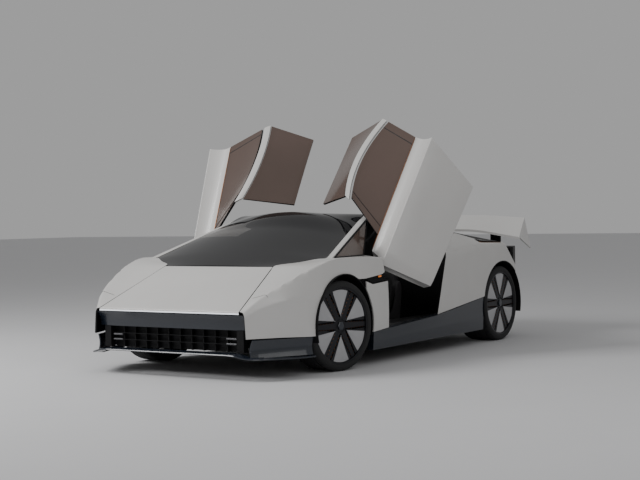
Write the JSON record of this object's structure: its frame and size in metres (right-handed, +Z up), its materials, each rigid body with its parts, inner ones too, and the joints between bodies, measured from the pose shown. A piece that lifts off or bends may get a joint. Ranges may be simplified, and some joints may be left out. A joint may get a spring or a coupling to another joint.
{
  "type": "supercar",
  "caption": "Low wedge-shaped mid-engined two-seat sports car with scissor doors that carry half the roof glass, stored with both doors raised.",
  "frame": {"origin": "on the ground, at the middle of the car's length and width, doors raised", "axes": "+X to the car's left, -Y to its front, +Z up"},
  "size_m": [2.7828, 4.527, 2.0059],
  "materials": {
    "paint": "satin warm white paint",
    "navy": "gloss navy",
    "black": "matt black",
    "carbon": "satin black composite",
    "alloy": "cast and machined alloy",
    "screen": "black tinted glass",
    "tint": "brown tinted glass",
    "hide": "dark hide",
    "lamp": "red lens",
    "tyre": "black rubber",
    "rim": "dark bronze alloy",
    "petal": "satin grey-white wheel inserts",
    "steel": "machined steel"
  },
  "bodies": {
    "root": {"bulkheads": "carbon", "dashboard": "black", "floor_pan": "carbon", "front_fascia": "navy", "front_fenders": "paint", "front_splitter": "navy", "front_structure": "carbon", "front_suspension": "alloy", "hinge_posts": "carbon", "intake_grille": "black", "power_unit": "alloy", "quarter_glass": "tint", "rear_deck": "black", "rear_diffuser": "black", "rear_fascia": "black", "rear_quarters": "paint", "rear_structure": "alloy", "rear_suspension": "alloy", "rear_uprights": "alloy", "rear_wing": "paint", "roof_frame": "black", "roof_pillars": "paint", "screen_border": "black", "scuttle": "black", "seats": "hide", "side_skirts": "navy", "sills": "carbon", "steering_wheel": "hide", "tail_lamp": "lamp", "wheel_liners": "black", "windscreen": "screen"},
    "bonnet": {"bonnet": "paint"},
    "door_left": {"door_frame_left": "black", "door_glass_left": "tint", "door_rail_left": "paint", "door_shell_left": "paint"},
    "door_right": {"door_frame_right": "black", "door_glass_right": "tint", "door_rail_right": "paint", "door_shell_right": "paint"},
    "engine_cover": {"engine_cover": "black"},
    "wheel_front_left": {"hub_front_left": "steel", "petals_front_left": "petal", "rim_front_left": "rim", "tyre_front_left": "tyre"},
    "wheel_front_right": {"hub_front_right": "steel", "petals_front_right": "petal", "rim_front_right": "rim", "tyre_front_right": "tyre"},
    "wheel_rear_left": {"hub_rear_left": "steel", "petals_rear_left": "petal", "rim_rear_left": "rim", "tyre_rear_left": "tyre"},
    "wheel_rear_right": {"hub_rear_right": "steel", "petals_rear_right": "petal", "rim_rear_right": "rim", "tyre_rear_right": "tyre"},
    "knuckle_left": {"knuckle_left": "alloy"},
    "knuckle_right": {"knuckle_right": "alloy"}
  },
  "joints": [
    {"name": "door_left_hinge", "type": "hinge", "parent": "root", "child": "door_left", "pos_m": [0.9, -0.706, 0.884], "axis": [0.8514, -0.3661, -0.3755], "range_deg": [-66.3, 0]},
    {"name": "door_right_hinge", "type": "hinge", "parent": "root", "child": "door_right", "pos_m": [-0.9, -0.706, 0.884], "axis": [0.8514, 0.3661, 0.3755], "range_deg": [-66.3, 0]},
    {"name": "bonnet_hinge", "type": "hinge", "parent": "root", "child": "bonnet", "pos_m": [0, -1.5925, 0.792], "axis": [-1, 0, 0], "range_deg": [0, 55]},
    {"name": "engine_cover_hinge", "type": "hinge", "parent": "root", "child": "engine_cover", "pos_m": [0, 0.647, 1.079], "axis": [1, 0, 0], "range_deg": [0, 45]},
    {"name": "steer_left", "type": "hinge", "parent": "root", "child": "knuckle_left", "pos_m": [0.83, -1.3, 0.345], "axis": [0, 0, 1], "range_deg": [-19.3, 40.7]},
    {"name": "steer_right", "type": "hinge", "parent": "root", "child": "knuckle_right", "pos_m": [-0.83, -1.3, 0.345], "axis": [0, 0, 1], "range_deg": [-19.3, 40.7]},
    {"name": "wheel_front_left_spin", "type": "hinge", "parent": "knuckle_left", "child": "wheel_front_left", "pos_m": [0.89878, -1.313, 0.345], "axis": [0.9826, -0.1857, 0], "continuous": true},
    {"name": "wheel_rear_left_spin", "type": "hinge", "parent": "root", "child": "wheel_rear_left", "pos_m": [0.9, 1.45, 0.345], "axis": [1, 0, 0], "continuous": true},
    {"name": "wheel_front_right_spin", "type": "hinge", "parent": "knuckle_right", "child": "wheel_front_right", "pos_m": [-0.89878, -1.287, 0.345], "axis": [0.9826, -0.1857, 0], "continuous": true},
    {"name": "wheel_rear_right_spin", "type": "hinge", "parent": "root", "child": "wheel_rear_right", "pos_m": [-0.9, 1.45, 0.345], "axis": [1, 0, 0], "continuous": true}
  ],
  "couplings": [
    {"joint": "steer_right", "follows": "steer_left", "ratio": 1}
  ]
}
